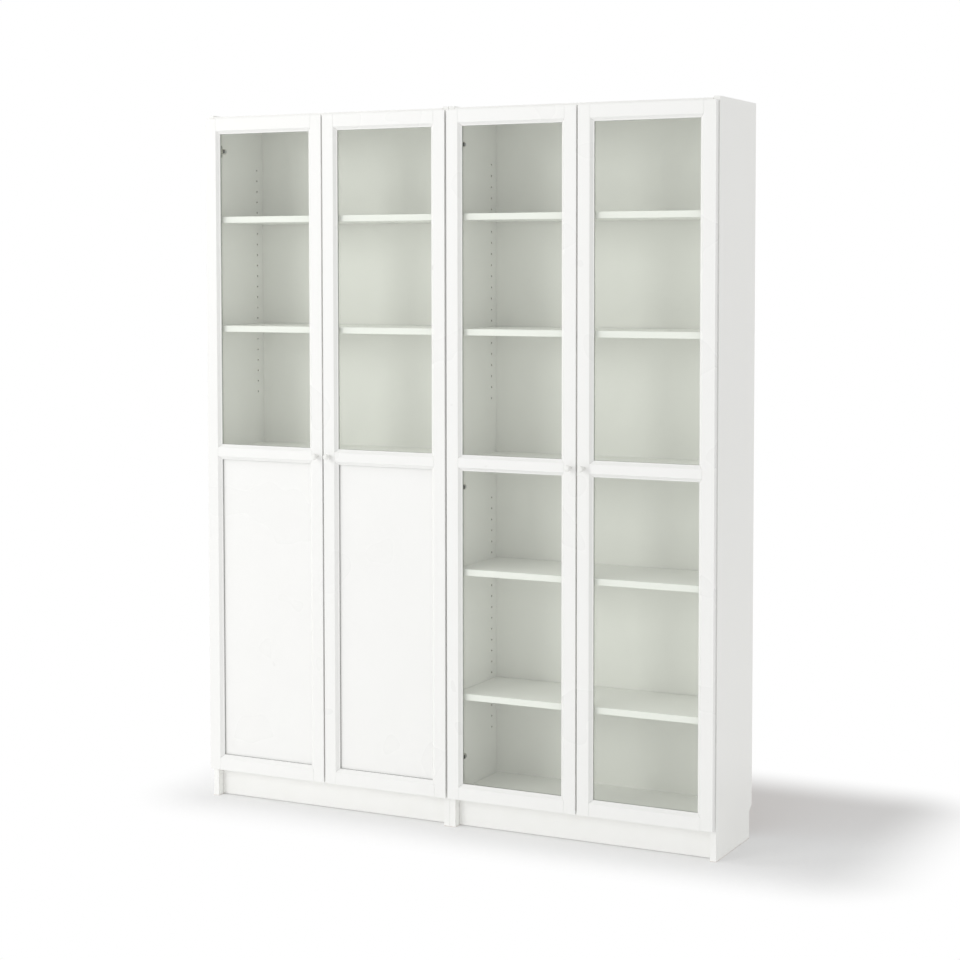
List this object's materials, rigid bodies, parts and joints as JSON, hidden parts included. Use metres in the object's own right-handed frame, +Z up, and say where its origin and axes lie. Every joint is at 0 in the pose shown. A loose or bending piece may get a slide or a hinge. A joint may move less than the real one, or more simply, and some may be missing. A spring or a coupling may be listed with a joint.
{
  "type": "bookcase with doors",
  "caption": "Tall white bookcase of joined units with hinged framed doors, part glazed and part solid, in front of adjustable shelves.",
  "frame": {"origin": "on the floor, under the middle of the bounding box, knobs included", "axes": "+Z up, the doors face -Y, +X to the right of someone who faces the doors"},
  "size_m": [1.6002, 0.322, 2.024],
  "materials": {
    "white_foil_board": "white melamine foil on particleboard, satin",
    "white_back_board": "white printed fibreboard, satin",
    "white_lacquered_door": "white lacquered fibreboard, satin",
    "clear_glass": "clear tempered float glass, polished",
    "white_knob": "white, satin gloss",
    "nickel_hinge": "nickel-plated pressed steel"
  },
  "bodies": {
    "cabinet": {"unit_1_side_left": "white_foil_board", "unit_1_side_right": "white_foil_board", "unit_1_top_panel": "white_foil_board", "unit_1_bottom_panel": "white_foil_board", "unit_1_fixed_shelf": "white_foil_board", "unit_1_plinth": "white_foil_board", "unit_1_back_panel": "white_back_board", "unit_1_shelf_1": "white_foil_board", "unit_1_shelf_2": "white_foil_board", "unit_1_shelf_3": "white_foil_board", "unit_1_shelf_4": "white_foil_board", "unit_2_side_left": "white_foil_board", "unit_2_side_right": "white_foil_board", "unit_2_top_panel": "white_foil_board", "unit_2_bottom_panel": "white_foil_board", "unit_2_fixed_shelf": "white_foil_board", "unit_2_plinth": "white_foil_board", "unit_2_back_panel": "white_back_board", "unit_2_shelf_1": "white_foil_board", "unit_2_shelf_2": "white_foil_board", "unit_2_shelf_3": "white_foil_board", "unit_2_shelf_4": "white_foil_board", "door_1_hinge_arm_1": "nickel_hinge", "door_1_hinge_arm_2": "nickel_hinge", "door_1_hinge_arm_3": "nickel_hinge", "door_2_hinge_arm_1": "nickel_hinge", "door_2_hinge_arm_2": "nickel_hinge", "door_2_hinge_arm_3": "nickel_hinge", "door_3_hinge_arm_1": "nickel_hinge", "door_3_hinge_arm_2": "nickel_hinge", "door_3_hinge_arm_3": "nickel_hinge", "door_4_hinge_arm_1": "nickel_hinge", "door_4_hinge_arm_2": "nickel_hinge", "door_4_hinge_arm_3": "nickel_hinge"},
    "door_1": {"door_1_frame": "white_lacquered_door", "door_1_glass": "clear_glass", "door_1_lower_panel": "white_lacquered_door", "door_1_knob": "white_knob", "door_1_hinge_cup_1": "nickel_hinge", "door_1_hinge_cup_2": "nickel_hinge", "door_1_hinge_cup_3": "nickel_hinge"},
    "door_2": {"door_2_frame": "white_lacquered_door", "door_2_glass": "clear_glass", "door_2_lower_panel": "white_lacquered_door", "door_2_knob": "white_knob", "door_2_hinge_cup_1": "nickel_hinge", "door_2_hinge_cup_2": "nickel_hinge", "door_2_hinge_cup_3": "nickel_hinge"},
    "door_3": {"door_3_frame": "white_lacquered_door", "door_3_glass": "clear_glass", "door_3_knob": "white_knob", "door_3_hinge_cup_1": "nickel_hinge", "door_3_hinge_cup_2": "nickel_hinge", "door_3_hinge_cup_3": "nickel_hinge"},
    "door_4": {"door_4_frame": "white_lacquered_door", "door_4_glass": "clear_glass", "door_4_knob": "white_knob", "door_4_hinge_cup_1": "nickel_hinge", "door_4_hinge_cup_2": "nickel_hinge", "door_4_hinge_cup_3": "nickel_hinge"}
  },
  "joints": [
    {"name": "door_1_hinge", "type": "hinge", "parent": "cabinet", "child": "door_1", "pos_m": [-0.78965, -0.1325, 1.05], "axis": [0, 0, -1], "range_deg": [0, 95]},
    {"name": "door_2_hinge", "type": "hinge", "parent": "cabinet", "child": "door_2", "pos_m": [-0.01065, -0.1325, 1.05], "axis": [0, 0, 1], "range_deg": [0, 86]},
    {"name": "door_3_hinge", "type": "hinge", "parent": "cabinet", "child": "door_3", "pos_m": [0.01065, -0.1325, 1.05], "axis": [0, 0, -1], "range_deg": [0, 86]},
    {"name": "door_4_hinge", "type": "hinge", "parent": "cabinet", "child": "door_4", "pos_m": [0.78965, -0.1325, 1.05], "axis": [0, 0, 1], "range_deg": [0, 95]}
  ]
}
